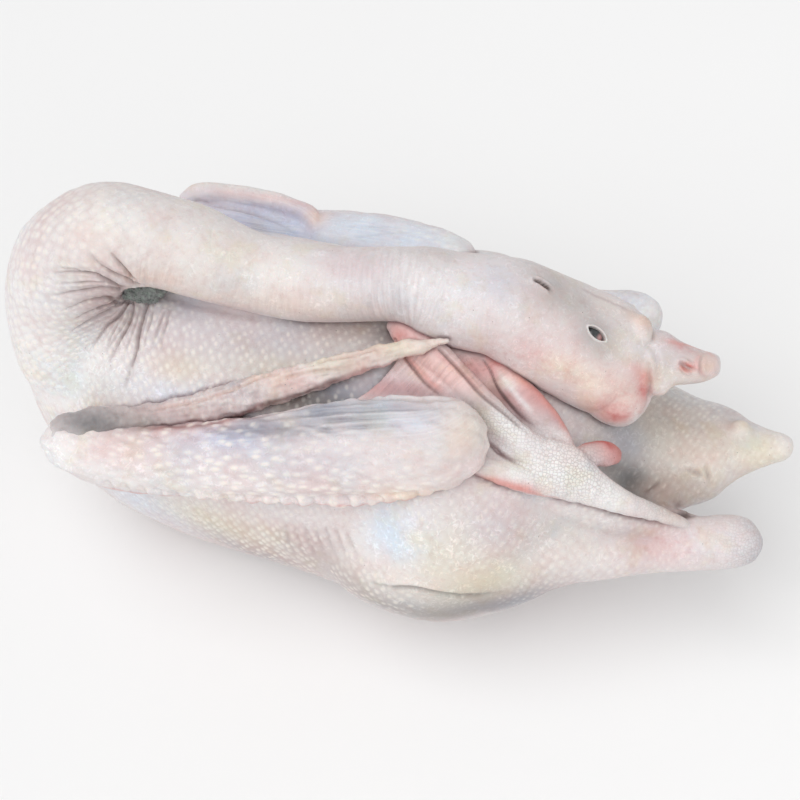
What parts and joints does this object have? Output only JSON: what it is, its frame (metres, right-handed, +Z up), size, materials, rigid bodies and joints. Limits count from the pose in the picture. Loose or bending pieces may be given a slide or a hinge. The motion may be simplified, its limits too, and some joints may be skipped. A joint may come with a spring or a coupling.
{
  "type": "whole raw goose",
  "caption": "Whole plucked goose lying on its breast, neck folded back along the back, head on the rump, wings and feet folded on the flanks.",
  "frame": {"origin": "a point of the flat spot under the breast, on the bird's middle plane, near the middle of its length", "axes": "+X from the breast to the tail, +Z up through the back, -Y to the side that the left cheek faces"},
  "size_m": [0.3675, 0.1959, 0.1949],
  "materials": {
    "skin": "pale plucked skin, slightly moist"
  },
  "bodies": {
    "root": {"goose": "skin"}
  },
  "joints": []
}
